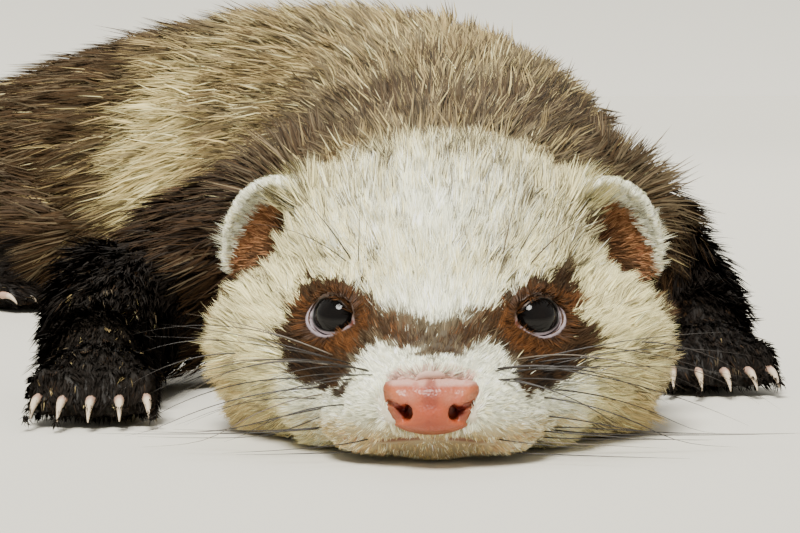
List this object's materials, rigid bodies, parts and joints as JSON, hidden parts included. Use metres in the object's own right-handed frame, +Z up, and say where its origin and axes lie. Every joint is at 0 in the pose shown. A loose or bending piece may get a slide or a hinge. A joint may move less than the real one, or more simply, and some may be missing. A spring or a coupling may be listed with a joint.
{
  "type": "ferret model",
  "caption": "Life-size still model of a ferret lying flat on its belly, chin on the floor, forelegs spread beside the head and the back end curled to one side.",
  "frame": {"origin": "middle of the footprint on the floor, below the animal", "axes": "+Z up; the animal faces -Y, and its own left side is at +X"},
  "size_m": [0.3044, 0.3434, 0.0706],
  "materials": {
    "coat_cream": "soft dense fur",
    "coat_grey_brown": "soft dense fur with darker guard hairs",
    "coat_brown": "soft dense fur",
    "coat_black": "short dense fur",
    "nose_leather": "moist fine-grained skin",
    "eye_wet": "wet gloss"
  },
  "bodies": {
    "root": {"head": "coat_cream", "neck": "coat_cream", "ear_left": "coat_cream", "ear_right": "coat_cream", "chest": "coat_grey_brown", "loin": "coat_grey_brown", "rump": "coat_brown", "tail_base": "coat_brown", "thigh_left": "coat_brown", "thigh_right": "coat_brown", "tail_end": "coat_black", "upper_arm_left": "coat_black", "upper_arm_right": "coat_black", "forearm_left": "coat_black", "forearm_right": "coat_black", "fore_paw_left": "coat_black", "fore_paw_right": "coat_black", "shank_left": "coat_black", "shank_right": "coat_black", "hind_foot_left": "coat_black", "hind_foot_right": "coat_black", "nose": "nose_leather", "eye_left": "eye_wet", "eye_right": "eye_wet"}
  },
  "joints": []
}
